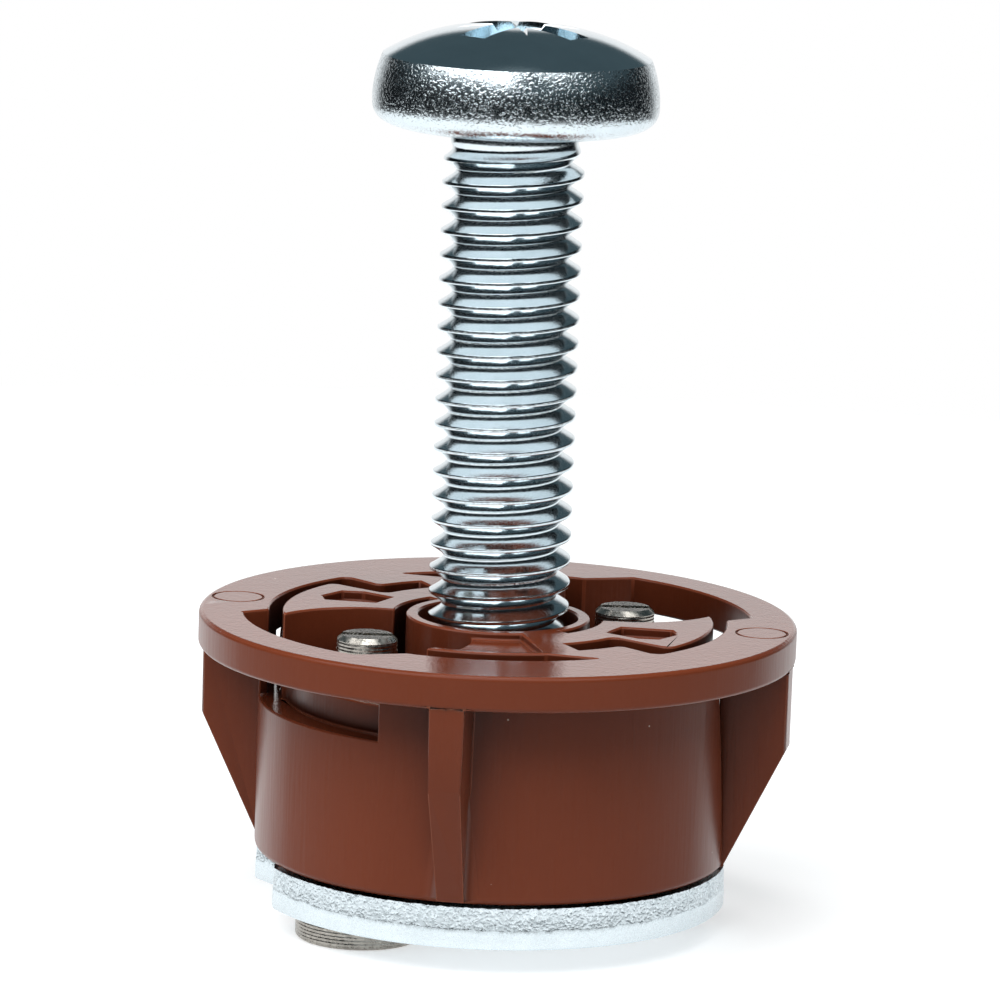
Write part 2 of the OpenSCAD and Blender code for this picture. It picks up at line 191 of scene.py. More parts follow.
def plastic_relief(tree, place):
    """The noise of the upright mould lines, and the bumped normal of lines and orange peel."""
    peel = add_node(tree, "TexNoise", {"Vector": place, "Scale": 1 / PEEL_SIZE, "Detail": 2.0})
    upright = add_node(tree, "Mapping", {"Vector": place, "Scale": MOULD_LINE_STRETCH})
    lines = add_node(
        tree, "TexNoise", {"Vector": upright.outputs[0], "Scale": 1 / MOULD_LINE, "Detail": 2.0}
    ).outputs[0]
    waves = {"Height": peel.outputs[0], "Distance": PEEL_DEPTH, "Strength": PEEL_STRENGTH}
    grooves = {"Height": lines, "Distance": MOULD_LINE_DEPTH, "Strength": MOULD_LINE_STRENGTH}
    grooves["Normal"] = add_node(tree, "Bump", waves).outputs[0]
    return lines, add_node(tree, "Bump", grooves).outputs[0]


def moulded_polyamide():
    """Polyamide from a steel mould: satin walls and a face that mirrors at a low angle."""
    material, tree, output = new_material("injection-moulded polyamide")
    place = add_node(tree, "TexCoord").outputs["Object"]
    true_normal = add_node(tree, "NewGeometry").outputs["Normal"]
    lines, relief = plastic_relief(tree, place)
    walls = add_node(tree, "MapRange", {"Value": lines, 3: WALL_ROUGH[0], 4: WALL_ROUGH[1]})
    height = add_node(tree, "SeparateXYZ", {0: true_normal}).outputs[2]
    upward = add_node(tree, "MapRange", {"Value": height, 1: FACE_SLOPE[0], 2: FACE_SLOPE[1]})
    gloss = add_node(tree, "Mix", {0: upward.outputs[0], 2: walls.outputs[0], 3: FACE_ROUGH})
    facing = add_node(tree, "LayerWeight", {"Blend": 0.5}).outputs["Facing"]
    (start, full), (weak, strong) = MIRROR_FACING, MIRROR_LEVEL
    mirror = add_node(tree, "MapRange", {"Value": facing, 1: start, 2: full, 3: weak, 4: strong})
    shader = add_node(
        tree,
        "BsdfPrincipled",
        {
            "Base Color": plastic_colour(tree, place, true_normal),
            "Roughness": gloss.outputs[0],
            "IOR": POLYAMIDE_IOR,
            "Specular IOR Level": mirror.outputs[0],
            "Subsurface Weight": 0.06,
            "Subsurface Radius": (1.0, 0.35, 0.15),
            "Subsurface Scale": 0.6 * MM,
            "Normal": relief,
        },
    )
    tree.links.new(shader.outputs[0], output.inputs[0])
    return material


plastic = moulded_polyamide()
print("material:", plastic.name)

# %% [markdown]
# ## Tools for shapes
# A CAD solid has edges as sharp as a knife, and nothing moulded has. The mould's own corners are
# slightly round, and those small roundings are what catch the light. The CAD mesh stays as it is: a
# copy of it is welded, its flat faces are merged, and a Bevel modifier rounds each sharp edge by the
# weight that the edge carries.

# %% Shape helpers
WELD = 0.001 * MM
SHARP = math.radians(28)
FLAT = math.radians(0.4)


def mesh_from_cad(node):
    """A welded copy of a CAD node's mesh, with the parts of each flat face merged."""
    mesh = bmesh.new()
    mesh.from_mesh(nodes[node].data)
    bmesh.ops.remove_doubles(mesh, verts=mesh.verts, dist=WELD)
    bmesh.ops.dissolve_limit(
        mesh, angle_limit=FLAT, verts=mesh.verts, edges=mesh.edges, delimit={"SHARP"}
    )
    return mesh


def new_piece(name, mesh, body, slot, *materials):
    """Turns a bmesh into an object that rides on a CAD body, smooth except at its sharp edges."""
    data = bpy.data.meshes.new(name)
    mesh.normal_update()
    mesh.to_mesh(data)
    mesh.free()
    for material in materials:
        data.materials.append(material)
    data.shade_smooth()
    data.set_sharp_from_angle(angle=SHARP)
    piece = bpy.data.objects.new(name, data)
    bpy.context.scene.collection.objects.link(piece)
    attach(piece, body)
    print(name, "has", len(data.polygons), "faces")
    return piece


def soften(piece, width):
    """Rounds the sharp edges of a piece, each by its bevel weight."""
    bevel = piece.modifiers.new("soft edges", "BEVEL")
    bevel.width = width
    bevel.segments = 2
    bevel.limit_method = "WEIGHT"
    bevel.use_clamp_overlap = False
    bevel.loop_slide = True
    normals = piece.modifiers.new("even shading", "WEIGHTED_NORMAL")
    normals.keep_sharp = True


def weigh_edges(mesh, weight_of):
    """Gives each sharp edge of a bmesh the bevel weight that weight_of(edge) says."""
    layer = mesh.edges.layers.float.new("bevel_weight_edge")
    for edge in mesh.edges:
        if len(edge.link_faces) == 2 and edge.calc_face_angle(0) > SHARP:
            edge[layer] = weight_of(edge)


print("an edge counts as sharp from", round(math.degrees(SHARP)), "degrees")

# %% [markdown]
# ## The moulded body
# Most edges get the full rounding. The shallow marks of the ejector pins in the face are only a few
# hundredths of a millimetre deep, so they get a narrower one. The lower tips of the fins run out to a
# thin point, where a rounding would fold over itself, so they get none.

# %% Body
BODY_SOFT = 0.08 * MM
MARK_WEIGHT = 0.3
MARK_LEVEL = 0.1 * MM
FIN_TIP_Z = 3.9 * MM
WALL_R = 9.78 * MM
face_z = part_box("body")[1].z


def body_weight(edge):
    """Bevel weight of an edge of the body: less at the ejector marks, none at a fin's lower tip."""
    lowest = min(v.co.z for v in edge.verts)
    if lowest < FIN_TIP_Z and max(v.co.xy.length for v in edge.verts) > WALL_R:
        return 0.0
    deepest = min(v.co.z for face in edge.link_faces for v in face.verts)
    return MARK_WEIGHT if min(lowest, deepest) > face_z - MARK_LEVEL else 1.0


moulding = mesh_from_cad("body")
weigh_edges(moulding, body_weight)
body_piece = new_piece("moulded_body", moulding, "anchor_body", "brown_plastic", plastic)
soften(body_piece, BODY_SOFT)
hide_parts("body")

# %% [markdown]
# ## Zinc-plated steel
# The screw and the wings are steel with a thin coat of bright zinc, which reflects a slightly blue
# light. A metal's colour is its reflection: the base colour only tints it, and the roughness says how
# sharp the reflection is. Plating follows the surface under it, so each way of working the steel gives
# its own finish. One function makes them all, from the depth and size of the grain under the plating
# and from two ends of its gloss.

# %% Bright zinc plate
ZINC = "#dfe9ee"
ZINC_DULL = "#cdd8dd"
CLOUD_SIZE = 1.25 * MM
# the grain of cold-worked steel is finer than this: drawn coarser, so that it shows
GRAIN_SIZE = 0.09 * MM
SPARKLE_SIZE = 0.12 * MM
GRAIN_RANGE = (0.3, 0.7)


def bright_zinc(name, grain_depth, smooth, rough, grain_size=GRAIN_SIZE, flat_share=0.0):
    """Bright zinc plate over steel with a grain grain_depth deep.

    Its roughness lies between smooth and rough. flat_share is how much of the grain's height is cut
    off from below, which leaves the surface flat between the grains.
    """
    material, tree, output = new_material(name)
    place = add_node(tree, "TexCoord").outputs["Object"]
    cloud = add_node(tree, "TexNoise", {"Vector": place, "Scale": 1 / CLOUD_SIZE, "Detail": 5.0})
    tint = add_node(
        tree, "Mix", {0: cloud.outputs[0], 6: linear(ZINC_DULL), 7: linear(ZINC)}, data_type="RGBA"
    )
    grain = add_node(
        tree, "TexNoise", {"Vector": place, "Scale": 1 / grain_size, "Detail": 2.0, "Roughness": 0.5}
    ).outputs[0]
    lumps = add_node(tree, "MapRange", {"Value": grain, 1: flat_share, 2: 1.0})
    relief = add_node(
        tree, "Bump", {"Height": lumps.outputs[0], "Distance": grain_depth, "Strength": 1.0}
    )
    low, high = GRAIN_RANGE
    gloss = add_node(tree, "MapRange", {"Value": grain, 1: low, 2: high, 3: smooth, 4: rough})
    shader = add_node(
        tree,
        "BsdfPrincipled",
        {
            "Base Color": tint.outputs[2],
            "Metallic": 1.0,
            "Roughness": gloss.outputs[0],
            "Normal": relief.outputs[0],
        },
    )
    tree.links.new(shader.outputs[0], output.inputs[0])
    return material


print("grain under the plating, mm:", GRAIN_SIZE / MM, "or, where it sparkles,", SPARKLE_SIZE / MM)

# %% [markdown]
# ### Six zinc finishes
# The screw has three finishes and a wing has three. A pan head is struck on its crown only, so the
# crown is a mirror and the side sparkles. A stamped plate keeps the satin of the rolling mill on its
# flat faces, and its edge shows what the press did to it.

# %% Zinc finishes
# rolled between dies, which burnish the flanks: each turn mirrors the room in thin bright lines
thread_zinc = bright_zinc(
    "zinc-plated rolled thread", grain_depth=0.004 * MM, smooth=0.09, rough=0.2
)
# struck by a polished punch: the smoothest place, which shows the dark room above it
crown_zinc = bright_zinc(
    "zinc-plated struck crown", grain_depth=0.002 * MM, smooth=0.06, rough=0.14
)
# upset, with no tool against it, so that grains of steel bulge out: small facets that sparkle
side_zinc = bright_zinc(
    "zinc-plated upset side", 0.022 * MM, 0.16, 0.26, grain_size=SPARKLE_SIZE, flat_share=0.5
)
# cold-rolled strip: a flat, even satin
plate_zinc = bright_zinc(
    "zinc-plated steel strip", grain_depth=0.006 * MM, smooth=0.24, rough=0.36
)
# torn off in the press: coarse broken grains, which scatter the light to a pale grey
torn_zinc = bright_zinc(
    "zinc-plated torn edge", 0.035 * MM, 0.2, 0.4, grain_size=SPARKLE_SIZE, flat_share=0.4
)
# wiped smooth by the punch's side: a bright, even band
sheared_zinc = bright_zinc(
    "zinc-plated sheared edge", grain_depth=0.003 * MM, smooth=0.2, rough=0.32
)
zincs = (thread_zinc, crown_zinc, side_zinc, plate_zinc, torn_zinc, sheared_zinc)
print("materials:", [zinc.name for zinc in zincs])

# %% [markdown]
# ## The rolled thread
# An M6 thread rises by one pitch, 1 mm, for each turn. It is rolled, not cut: steel is pressed out of
# the roots into the crests, and the two flows meet in a fine seam along each crest. One way to make it
# is a Screw modifier on a profile. Here the surface is laid out point by point as a grid that is wound
# round the axis, because then each row of points follows the helix, the last column of one turn is the
# first of the next, and the same formula can fade the thread out under the head and chamfer its end.

# %% Thread profile
PITCH = 1.0 * MM
CREST_R = 2.9 * MM
ROOT_R = 2.26 * MM
BLANK_R = 2.61 * MM
FLANK = math.radians(30)
CREST_FLAT = 0.1 * MM
SEAM_WIDTH = 0.02 * MM
SEAM_DEPTH = 0.015 * MM
ROOT_ROUND = 0.28 * MM
END_CHAMFER = 0.6 * MM
RUNOUT_START = 0.35 * MM
RUNOUT = 1.2 * MM
SCREW_LENGTH = 30 * MM
screw_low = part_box("screw")[0].z
head_z = screw_low + SCREW_LENGTH


def smooth_step(x):
    """0 up to x = 0, 1 from x = 1, and a smooth rise between."""
    x = min(max(x, 0.0), 1.0)
    return x * x * (3 - 2 * x)


def thread_radius(turns, z):
    """Radius of the screw's shank, turns pitches along the helix from a crest, at height z."""
    from_crest = abs(turns - round(turns)) * PITCH
    flank = CREST_R - max(0.0, from_crest - CREST_FLAT / 2) / math.tan(FLANK)
    flank -= SEAM_DEPTH * max(0.0, 1 - from_crest / SEAM_WIDTH)
    # the larger of flank and root, with the corner between them rounded
    full = (flank + ROOT_R + math.hypot(flank - ROOT_R, ROOT_ROUND)) / 2
    full = min(full, CREST_R)
    share = smooth_step((head_z - z - RUNOUT_START) / RUNOUT)
    radius = BLANK_R + (full - BLANK_R) * share
    return min(radius, CREST_R - END_CHAMFER + (z - screw_low))


middle_radii = [thread_radius(turns, (screw_low + head_z) / 2) for turns in (0, 0.5)]
print("radius at a crest and at a root, mm:", [round(radius / MM, 2) for radius in middle_radii])

# %% [markdown]
# ### Winding the grid
# Each column of the grid stands at one angle and holds every turn's rows, raised by that angle's share
# of the pitch. Points past either end are pressed flat onto it, welded, and closed with a face. The
# thread's top reaches a little way into the head, as it does in a real screw, so no gap can show.

# %% Thread
CREST_HEIGHT = 12.36 * MM
THREAD_SIDES = 96
INTO_HEAD = 0.2 * MM
# Places in half a pitch where the profile gets a row, close together at the crest and in the root
HALF_ROWS = [0, 0.012, 0.03, 0.05, 0.075, 0.12, 0.2, 0.28, 0.33, 0.37, 0.42, 0.47]
ROWS = HALF_ROWS + [0.5 + (0.5 - u) for u in reversed(HALF_ROWS[1:])]


def thread_columns(mesh, levels):
    """The grid's points: one column for each angle, with one point for each level in turns."""
    columns = []
    for side in range(THREAD_SIDES):
        angle = 2 * math.pi * side / THREAD_SIDES
        column = []
        for level in levels:
            z = CREST_HEIGHT + PITCH * (level + side / THREAD_SIDES)
            z = min(max(z, screw_low), head_z + INTO_HEAD)
            radius = thread_radius(level, z)
            column.append(mesh.verts.new((radius * math.cos(angle), radius * math.sin(angle), z)))
        columns.append(column)
    return columns


def wound_thread():
    """The threaded shank, from its chamfered end to just inside the head."""
    mesh = bmesh.new()
    first = math.floor((screw_low - CREST_HEIGHT) / PITCH) - 1
    last = math.ceil((head_z - CREST_HEIGHT) / PITCH) + 1
    levels = [turn + u for turn in range(first, last) for u in ROWS]
    columns = thread_columns(mesh, levels)
    for side in range(THREAD_SIDES):
        here, after = columns[side], columns[(side + 1) % THREAD_SIDES]
        # from the last column the grid goes on into the first one, a full turn further up
        step = len(ROWS) if side == THREAD_SIDES - 1 else 0
        for row in range(len(levels) - 1 - step):
            mesh.faces.new([here[row], after[row + step], after[row + 1 + step], here[row + 1]])
    bmesh.ops.remove_doubles(mesh, verts=mesh.verts, dist=WELD)
    loose = [v for v in mesh.verts if not v.link_faces]
    bmesh.ops.delete(mesh, geom=loose, context="VERTS")
    bmesh.ops.holes_fill(mesh, edges=[e for e in mesh.edges if e.is_boundary], sides=0)
    bmesh.ops.recalc_face_normals(mesh, faces=mesh.faces)
    return mesh


new_piece("screw_thread", wound_thread(), "machine_screw", "zinc_screw", thread_zinc)

# %% [markdown]
# ## The pan head
# The head is upset: the end of the wire is struck into a die. Its outline is turned round the axis in
# fine steps: a rounded lower rim, a side that leans in, a crisp shoulder and a low crown. The rim is a
# quarter of a superellipse, which is fuller than a circle. The head gets two finishes: the punch has
# polished the crown, and the side keeps its grain.

# %% Head outline
HEAD_R = 5.87 * MM
HEAD_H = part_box("screw")[1].z - head_z
BEARING_R = 4.0 * MM
# screwed right down, the head stays this far off the face, so that no two faces coincide
SEAT_CLEAR = 0.01 * MM
RIM_H = 1.12 * MM
RIM_FULLNESS = 2.8
SHOULDER_IN = 0.38 * MM
SHOULDER_H = 2.95 * MM
SIDE_POWER = 1.9
CROWN_FLATNESS = 2.6
RIM_STEPS, SIDE_STEPS, CROWN_STEPS = 15, 12, 32
HEAD_SIDES = 160


def turned(profile, sides):
    """A profile of (radius, height) points turned round the Z axis."""
    mesh = bmesh.new()
    angles = [2 * math.pi * i / sides for i in range(sides)]
    rings = []
    for r, z in profile:
        places = [(r * math.cos(a), r * math.sin(a), z) for a in angles] if r > WELD else [(0, 0, z)]
        rings.append([mesh.verts.new(place) for place in places])
    for low, high in zip(rings, rings[1:]):
        for i in range(sides):
            j = (i + 1) % sides
            corners = (low[i % len(low)], low[j % len(low)], high[j % len(high)], high[i % len(high)])
            # at the axis a ring is a single point, and the face there has three corners
            mesh.faces.new(list(dict.fromkeys(corners)))
    bmesh.ops.recalc_face_normals(mesh, faces=mesh.faces)
    return mesh


def crown_height(radius):
    """Height of the crown over the head's underside: nearly flat on top, then turning down."""
    flat = 1 - (radius / (HEAD_R - SHOULDER_IN)) ** CROWN_FLATNESS
    return SHOULDER_H + (HEAD_H - SHOULDER_H) * flat


def head_profile():
    """The pan head's outline, from the middle of its underside to the top of its crown."""
    outline = [(0.0, SEAT_CLEAR), (CREST_R, SEAT_CLEAR)]
    for i in range(RIM_STEPS + 1):
        turn = math.pi / 2 * i / RIM_STEPS
        across = math.sin(turn) ** (2 / RIM_FULLNESS)
        up = max(0.0, math.cos(turn)) ** (2 / RIM_FULLNESS)
        height = SEAT_CLEAR + (RIM_H - SEAT_CLEAR) * (1 - up)
        outline.append((BEARING_R + (HEAD_R - BEARING_R) * across, height))
    for i in range(1, SIDE_STEPS + 1):
        share = i / SIDE_STEPS
        radius = HEAD_R - SHOULDER_IN * share**SIDE_POWER
        outline.append((radius, RIM_H + (SHOULDER_H - RIM_H) * share))
    for i in range(1, CROWN_STEPS + 1):
        radius = (HEAD_R - SHOULDER_IN) * (1 - i / CROWN_STEPS)
        outline.append((radius, crown_height(radius)))
    return [(radius, head_z + height) for radius, height in outline]


head_mesh = turned(head_profile(), HEAD_SIDES)
for face in head_mesh.faces:
    face.material_index = 1 if face.calc_center_median().z < head_z + SHOULDER_H else 0
head_piece = new_piece(
    "screw_head", head_mesh, "machine_screw", "zinc_screw", crown_zinc, side_zinc
)
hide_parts("screw")

# %% [markdown]
# ## The cross recess
# A punch drives the recess into the crown. Two crossed blades that taper towards the bottom are cut
# out of the head with a Boolean modifier's exact solver. Between the blades the punch leaves four
# short radial marks, each widest and deepest at its inner end.

# %% Recess cutters
CROSS_W = 6.2 * MM
CROSS_BLADE = 1.25 * MM
CROSS_DEPTH = 2.9 * MM
CROSS_TURN = math.radians(53)
CROSS_RIM_DEPTH = 0.5 * MM
CROSS_TIP_SHARE = 0.4
CUTTER_RISE = 1 * MM
MARK_IN, MARK_OUT = 0.7 * MM, 2.6 * MM
MARK_WIDTH = 0.42 * MM
MARK_DEPTH = 0.14 * MM
MARK_RISE = 0.3 * MM
MARK_END_RISE = 0.02 * MM


def blade_cutter(turn):
    """One blade of the recess: upright at the rim, with ends that slope in towards the bottom."""
    mesh = bmesh.new()
    top_z = head_z + HEAD_H
    half, tip = CROSS_W / 2, CROSS_W / 2 * CROSS_TIP_SHARE
    rise, rim, bottom = top_z + CUTTER_RISE, top_z - CROSS_RIM_DEPTH, top_z - CROSS_DEPTH
    outline = [(-half, rise), (-half, rim), (-tip, bottom), (tip, bottom), (half, rim), (half, rise)]
    turning = Matrix.Rotation(turn, 3, "Z")
    sides = [
        [mesh.verts.new(turning @ Vector((x, y, z))) for x, z in outline]
        for y in (-CROSS_BLADE / 2, CROSS_BLADE / 2)
    ]
    mesh.faces.new(sides[0])
    mesh.faces.new(reversed(sides[1]))
    for i in range(len(outline)):
        j = (i + 1) % len(outline)
        mesh.faces.new([sides[0][j], sides[0][i], sides[1][i], sides[1][j]])
    return mesh


def mark_cutter(turn):
    """A wedge that cuts one radial mark: its keel sinks in at MARK_IN and comes out at MARK_OUT."""
    mesh = bmesh.new()
    shape = (
        (MARK_IN, -MARK_WIDTH, MARK_RISE), (MARK_IN, MARK_WIDTH, MARK_RISE),
        (MARK_IN, 0, -2 * MARK_DEPTH), (MARK_OUT, 0, MARK_END_RISE), (MARK_OUT, 0, MARK_RISE),
    )
    turning = Matrix.Rotation(turn, 3, "Z")
    for r, y, rise in shape:
        mesh.verts.new(turning @ Vector((r, y, head_z + crown_height(r) + rise)))
    bmesh.ops.convex_hull(mesh, input=mesh.verts)
    return mesh


print("recess:", round(CROSS_W / MM, 2), "mm across and", round(CROSS_DEPTH / MM, 2), "mm deep")

# %% [markdown]
# ### Cutting the recess
# A Boolean modifier needs its cutter as an object of the scene. The modified mesh is read from the
# evaluated object, which is the object as its modifiers leave it, and it then takes the place of the
# piece's own mesh, so that the cutter can go.

# %% Recess
def cut(piece, cutter_mesh, name):
    """Takes a cutter out of a piece with the exact Boolean solver, and keeps the result."""
    data = bpy.data.meshes.new(name)
    bmesh.ops.recalc_face_normals(cutter_mesh, faces=cutter_mesh.faces)
    cutter_mesh.to_mesh(data)
    cutter_mesh.free()
    cutter = bpy.data.objects.new(name, data)
    bpy.context.scene.collection.objects.link(cutter)
    boolean = piece.modifiers.new(name, "BOOLEAN")
    boolean.object = cutter
    boolean.operation = "DIFFERENCE"
    boolean.solver = "EXACT"
    bpy.context.view_layer.update()
    evaluated = piece.evaluated_get(bpy.context.evaluated_depsgraph_get())
    result = bpy.data.meshes.new_from_object(evaluated)
    piece.modifiers.remove(boolean)
    piece.data = result
    bpy.data.objects.remove(cutter)
    piece.data.set_sharp_from_angle(angle=SHARP)


for blade in range(2):
    cut(head_piece, blade_cutter(CROSS_TURN + blade * math.pi / 2), "recess blade")
for mark in range(4):
    cut(head_piece, mark_cutter(CROSS_TURN + (mark + 0.5) * math.pi / 2), "radial mark")
print("head after its cuts:", len(head_piece.data.polygons), "faces")

# %% [markdown]
# ## The outline of a wing
# The wings are stamped from steel strip. Their outline is read from the CAD node's own top face, so
# that each keeps its exact shape: the edges that have only one upward face beside them are its rim, and
# following them from end to end gives one closed loop for the outside and one for the pin's hole.

# %% Outline helpers
ON_TOP = 5 * WELD
UPWARD = 0.9


def area_of(points):
    """Signed area of a closed outline: positive when it runs counter-clockwise."""
    return sum(a[0] * b[1] - a[1] * b[0] for a, b in zip(points, points[1:] + points[:1])) / 2


def face_loops(node):
    """The outlines of a flat plate's top face, the outer one first, as lists of (x, y)."""
    mesh = mesh_from_cad(node)
    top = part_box(node)[1].z
    rim = {
        edge
        for edge in mesh.edges
        if all(abs(v.co.z - top) < ON_TOP for v in edge.verts)
        and sum(face.normal.z > UPWARD for face in edge.link_faces) == 1
    }
    loops = []
    while rim:
        edge = rim.pop()
        start, here = edge.verts
        loop = [start]
        while here is not start:
            loop.append(here)
            edge = next(e for e in here.link_edges if e in rim)
            rim.remove(edge)
            here = edge.other_vert(here)
        loops.append([(v.co.x, v.co.y) for v in loop])
    mesh.free()
    return sorted(loops, key=lambda points: -abs(area_of(points)))


def even_steps(points, step):
    """The same closed outline, counter-clockwise, with a point at least every step."""
    if area_of(points) < 0:
        points = points[::-1]
    result = []
    for a, b in zip(points, points[1:] + points[:1]):
        count = max(1, round(math.dist(a, b) / step))
        for i in range(count):
            share = i / count
            result.append((a[0] + (b[0] - a[0]) * share, a[1] + (b[1] - a[1]) * share))
    return result


def outward(points):
    """The outward direction at each point of a counter-clockwise outline."""
    found = []
    for before, after in zip(points[-1:] + points[:-1], points[1:] + points[:1]):
        along = Vector((after[0] - before[0], after[1] - before[1]))
        found.append(Vector((along.y, -along.x)).normalized())
    return found


print("area of a unit square:", area_of([(0, 0), (1, 0), (1, 1), (0, 1)]))

# %% [markdown]
# ## The sheared edge of a wing
# A punch leaves an edge with three bands: where it enters, the metal rolls in a little; then it is
# wiped smooth and bright; then it tears, which leaves a rough grey band with a small burr on top. Rows
# of points go up the edge, and noise moves the rows of the torn band in and out. That is real relief,
# cheaper and truer than a bump map on so thick an edge. Noise also bends the line between the
# sheared and the torn band, since steel never tears along a straight line.

# %% Edge bands
EDGE_STEP = 0.08 * MM
ROLL = 0.1 * MM
# Rows of the rolled band: how far up the edge, and which part of ROLL it lies in
ROLLED_ROWS = ((0.0, 1.0), (0.015, 0.5), (0.04, 0.15), (0.075, 0.0))
SHEARED_ROWS = (0.4, 0.7, 0.95)
SHEAR_SHARE = 0.54
TEAR_ROWS = 12
TEAR_DEPTH = 0.09 * MM
TEAR_FIRST, TEAR_FULL = 0.1, 0.5
TEAR_GRAIN = 0.16 * MM
TEAR_FINE_SHARE = 0.4
TEAR_STRETCH = 0.5
LINE_WOBBLE = 0.06 * MM
LINE_REACH = 0.35
BURR_START = 2 / 3
BURR_HEIGHT = 0.17 * MM
BURR_WIDTH = 0.14 * MM
BURR_RAGGED = 0.3


def edge_rows():
    """The rows up an edge, each with its share of the thickness, its inset, and 1 if it is torn."""
    rows = [(share, ROLL * part, 0) for share, part in ROLLED_ROWS]
    rows += [(SHEAR_SHARE * share, 0.0, 0) for share in SHEARED_ROWS]
    for i in range(TEAR_ROWS):
        share = i / (TEAR_ROWS - 1)
        depth = TEAR_FIRST + (TEAR_FULL - TEAR_FIRST) * min(1.0, 2 * share)
        rows.append((SHEAR_SHARE + (1 - SHEAR_SHARE) * share, TEAR_DEPTH * depth, 1))
    return rows


def torn(x, y, z, seed):
    """Relief of the torn band, from -1 to 1, longer up the edge than along it."""
    coarse = noise.noise(Vector((x, y, z * TEAR_STRETCH + seed)) / TEAR_GRAIN)
    fine = noise.noise(Vector((x, y, z + seed)) / (TEAR_GRAIN * TEAR_FINE_SHARE))
    return coarse * 0.6 + fine * 0.5


def edge_point(x, y, way, z, row, seed):
    """Where a point of the outline goes in a row: in or out by the tear, up by line and burr."""
    share, inset, rough = row
    relief = torn(x, y, z, seed)
    near_line = max(0.0, 1 - abs(share - SHEAR_SHARE) / LINE_REACH)
    wobble = noise.noise(Vector((x, y, seed)) / (3 * TEAR_GRAIN))
    burr = BURR_HEIGHT * max(0.0, (share - BURR_START) / (1 - BURR_START))
    back = inset * (1 - rough * relief)
    level = z + LINE_WOBBLE * near_line * wobble + burr * (1 + BURR_RAGGED * relief)
    return x - way.x * back, y - way.y * back, level


print("rows up a wing's edge:", len(edge_rows()))

# %% [markdown]
# ### Building a wing
# The rows become rings of points, and each pair of rings is joined by a band of faces. One more ring,
# level with the plate's top and just inside the burr, gives the burr its inner slope. The hole's wall
# and the two flat faces close the plate. Triangle fill finds the flat faces by itself from their rims.

# %% Wings
def stamped_wing(node, seed):
    """A wing with a rolled, a sheared and a torn band round its edge."""
    low, high = (corner.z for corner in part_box(node))
    outline, hole = face_loops(node)
    outline = even_steps(outline, EDGE_STEP)
    ways = outward(outline)
    mesh = bmesh.new()
    rows = edge_rows()
    rings = []
    for row in rows:
        z = low + (high - low) * row[0]
        places = [edge_point(x, y, way, z, row, seed) for (x, y), way in zip(outline, ways)]
        rings.append([mesh.verts.new(place) for place in places])
    inside = [(x - way.x * BURR_WIDTH, y - way.y * BURR_WIDTH) for (x, y), way in zip(outline, ways)]
    rings.append([mesh.verts.new((x, y, high)) for x, y in inside])
    for (_, _, rough), lower, upper in zip(rows, rings, rings[1:]):
        for i in range(len(outline)):
            j = (i + 1) % len(outline)
            band = mesh.faces.new([lower[i], lower[j], upper[j], upper[i]])
            band.material_index = 1 + rough
    walls = [[mesh.verts.new((x, y, z)) for x, y in hole] for z in (low, high)]
    for i in range(len(hole)):
        j = (i + 1) % len(hole)
        mesh.faces.new([walls[0][j], walls[0][i], walls[1][i], walls[1][j]])
    for loops in ((rings[0], walls[0]), (rings[-1], walls[1])):
        rim = [mesh.edges.get(pair) for loop in loops for pair in zip(loop, loop[1:] + loop[:1])]
        bmesh.ops.triangle_fill(mesh, edges=rim, use_beauty=True)
    bmesh.ops.recalc_face_normals(mesh, faces=mesh.faces)
    return mesh


# material 0 is on the flat faces, 1 on the rolled and the sheared band, 2 on the torn band
wing_finishes = (plate_zinc, sheared_zinc, torn_zinc)
for seed, side in enumerate(("front", "back")):
    wing = stamped_wing(side + "_wing", seed)
    wing_piece = new_piece(
        side + "_stamped_wing", wing, side + "_wing_set", "zinc_wing", *wing_finishes
    )
    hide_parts(side + "_wing")

# %% [markdown]
# ## The slotted pins and the bush
# A pin is turned from steel bar and left unplated: dark grey, with the lathe tool's fine rings round
# it. The rings are the sine of the height plus the distance from the axis. On the sides only the
# height changes and on the flat ends only the distance, so one formula serves both. Noise darkens the
# pits that hold oil. The threaded bush in the back of the body is turned in the same way, from paler
# steel.

# %% Turned steel
PIN_STEEL, PIN_STEEL_DARK = "#d6d1c8", "#4f4943"
BUSH_STEEL, BUSH_STEEL_DARK = "#b9bcc0", "#8d9094"
# a lathe's feed is nearer 0.05 mm: drawn coarser, so that the rings show
TURNING_LINE = 0.14 * MM
RING_DEPTH = 0.008 * MM
GRIME_SIZE = MM / 4.5
PIT_DEPTH = 0.03 * MM
PIT_STRENGTH = 0.5
STEEL_ROUGH = (0.18, 0.38)


def ring_height(tree, place, axis_place):
    """A wave that runs along an upright axis through axis_place, and out from it."""
    centre = (-axis_place.x, -axis_place.y, 0)
    centred = add_node(tree, "Mapping", {"Vector": place, "Location": centre})
    parts = add_node(tree, "SeparateXYZ", {0: centred.outputs[0]})
    flat = add_node(tree, "CombineXYZ", {0: parts.outputs[0], 1: parts.outputs[1]})
    radius = add_node(tree, "VectorMath", {0: flat.outputs[0]}, operation="LENGTH").outputs["Value"]
    path = add_node(tree, "Math", {0: radius, 1: parts.outputs[2]}, operation="ADD")
    per_metre = 2 * math.pi / TURNING_LINE
    phase = add_node(tree, "Math", {0: path.outputs[0], 1: per_metre}, operation="MULTIPLY")
    return add_node(tree, "Math", {0: phase.outputs[0]}, operation="SINE").outputs[0]


